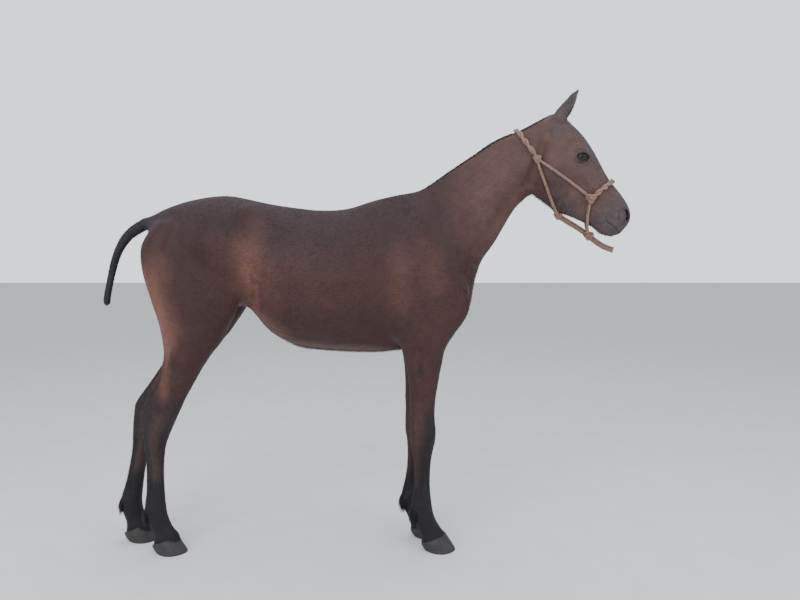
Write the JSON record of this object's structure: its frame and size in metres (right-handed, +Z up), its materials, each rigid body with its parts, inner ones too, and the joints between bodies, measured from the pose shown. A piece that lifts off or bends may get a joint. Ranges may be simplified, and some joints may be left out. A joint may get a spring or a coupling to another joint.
{
  "type": "hispano-arabian horse",
  "caption": "Young bay horse with a clipped mane and tail, standing at rest in a rope halter, head turned slightly to its right.",
  "frame": {"origin": "centre of the bounding box on the floor that the hooves stand on", "axes": "+X towards the head, +Z up, -Y the horse's right side"},
  "size_m": [2.1426, 0.4692, 1.8603],
  "materials": {
    "bay_coat": "satin",
    "black_points": "satin",
    "hoof": "satin",
    "eye": "gloss",
    "halter_rope": "matte"
  },
  "bodies": {
    "root": {"head": "bay_coat", "neck": "bay_coat", "torso": "bay_coat", "tail": "black_points", "foreleg_right": "black_points", "foreleg_left": "black_points", "hindleg_right": "black_points", "hindleg_left": "black_points", "ear_right": "bay_coat", "ear_left": "bay_coat", "eye_right": "eye", "eye_left": "eye", "hoof_fore_right": "hoof", "hoof_fore_left": "hoof", "hoof_hind_right": "hoof", "hoof_hind_left": "hoof", "knot_cheek_right": "halter_rope", "knot_cheek_left": "halter_rope", "knot_nose_right": "halter_rope", "knot_nose_left": "halter_rope", "knot_throat": "halter_rope", "knot_chin": "halter_rope", "rope_crown_right": "halter_rope", "rope_crown_left": "halter_rope", "rope_nose_right": "halter_rope", "rope_nose_left": "halter_rope", "rope_throat_right": "halter_rope", "rope_throat_left": "halter_rope", "rope_cheek_right": "halter_rope", "rope_cheek_left": "halter_rope", "rope_chin_right": "halter_rope", "rope_chin_left": "halter_rope", "rope_under_jaw": "halter_rope", "rope_loop": "halter_rope"}
  },
  "joints": []
}
